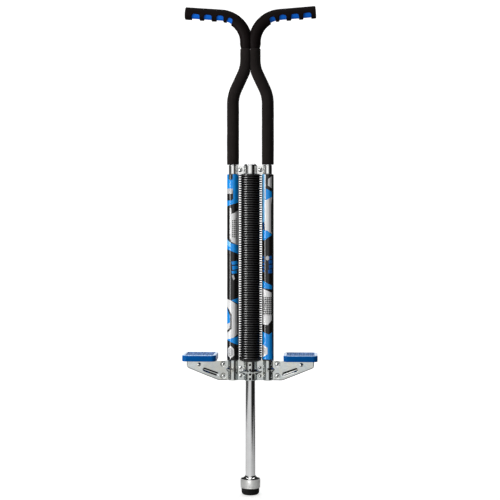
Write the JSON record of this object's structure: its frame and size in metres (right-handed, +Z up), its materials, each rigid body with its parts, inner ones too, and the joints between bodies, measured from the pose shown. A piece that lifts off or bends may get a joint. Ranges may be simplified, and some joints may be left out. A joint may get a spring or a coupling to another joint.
{
  "type": "pogo stick",
  "caption": "Spring pogo stick with bent-tube handlebars, printed foam sleeves, ribbed spring cover, stamped footrest plates with blue pedals and a sliding piston on a rubber tip.",
  "frame": {"origin": "middle of the rubber tip's flat ground face, on the piston's centre line, with the spring at its rest length", "axes": "+Z up along the piston, X across the two pedals and handles, -Y is the front, which carries the clamp bolt heads"},
  "size_m": [0.286, 0.08, 1.0394],
  "materials": {
    "bright_tube": "chrome-plated steel tube",
    "zinc_plate": "bright zinc plating over stamped steel",
    "zinc_fastener": "bright zinc plate",
    "spring_steel": "oiled spring steel",
    "washer_steel": "plain steel",
    "tip_rubber": "matt black rubber",
    "bumper_rubber": "matt black rubber",
    "cover_black": "glossy black moulded plastic",
    "bushing_black": "black nylon",
    "foam_black": "matt closed-cell foam",
    "liner_foam": "closed-cell foam",
    "sleeve_print": "glossy printed film in blue, black, white and grey",
    "grip_black": "satin black moulded grip",
    "grip_blue": "satin blue moulded grip",
    "pedal_blue": "satin blue moulded plastic"
  },
  "bodies": {
    "frame": {"bump_stop": "bumper_rubber", "cover_base_ring": "bumper_rubber", "lower_bushing": "bushing_black", "upper_bushing": "bushing_black", "main_spring": "spring_steel", "upper_spring_plate": "washer_steel", "spring_cover": "cover_black", "upper_clamp_front": "zinc_plate", "upper_clamp_rear": "zinc_plate", "clamp_bolts": "zinc_fastener", "clamp_nuts": "zinc_fastener", "frame_tube_left": "bright_tube", "frame_tube_right": "bright_tube", "graphic_sleeve_left": "sleeve_print", "graphic_sleeve_right": "sleeve_print", "sleeve_liner_left": "liner_foam", "sleeve_liner_right": "liner_foam", "foam_sleeve_left": "foam_black", "foam_sleeve_right": "foam_black", "grip_core_left": "grip_blue", "grip_core_right": "grip_blue", "grip_left": "grip_black", "grip_right": "grip_black", "footrest_plate_front": "zinc_plate", "footrest_plate_rear": "zinc_plate", "plate_rivets": "zinc_fastener", "pedal_rivet_left": "zinc_fastener", "pedal_rivet_right": "zinc_fastener", "pedal_left": "pedal_blue", "pedal_right": "pedal_blue"},
    "spring_carrier": {"thrust_washer": "washer_steel"},
    "piston": {"rubber_tip": "tip_rubber", "foot_ferrule": "bright_tube", "foot_collar": "bright_tube", "piston_tube": "bright_tube", "piston_top_cap": "bright_tube", "spring_seat": "washer_steel", "seat_pin": "washer_steel"}
  },
  "joints": [
    {"name": "piston_slide", "type": "slide", "parent": "frame", "child": "spring_carrier", "axis": [0, 0, 1], "range_m": [0, 0.11], "stiffness_N_per_m": 8000, "springref_m": -0.0075, "deforming": ["main_spring"]},
    {"name": "piston_spin", "type": "hinge", "parent": "spring_carrier", "child": "piston", "pos_m": [0, 0, 0.2967], "axis": [0, 0, 1], "continuous": true}
  ]
}
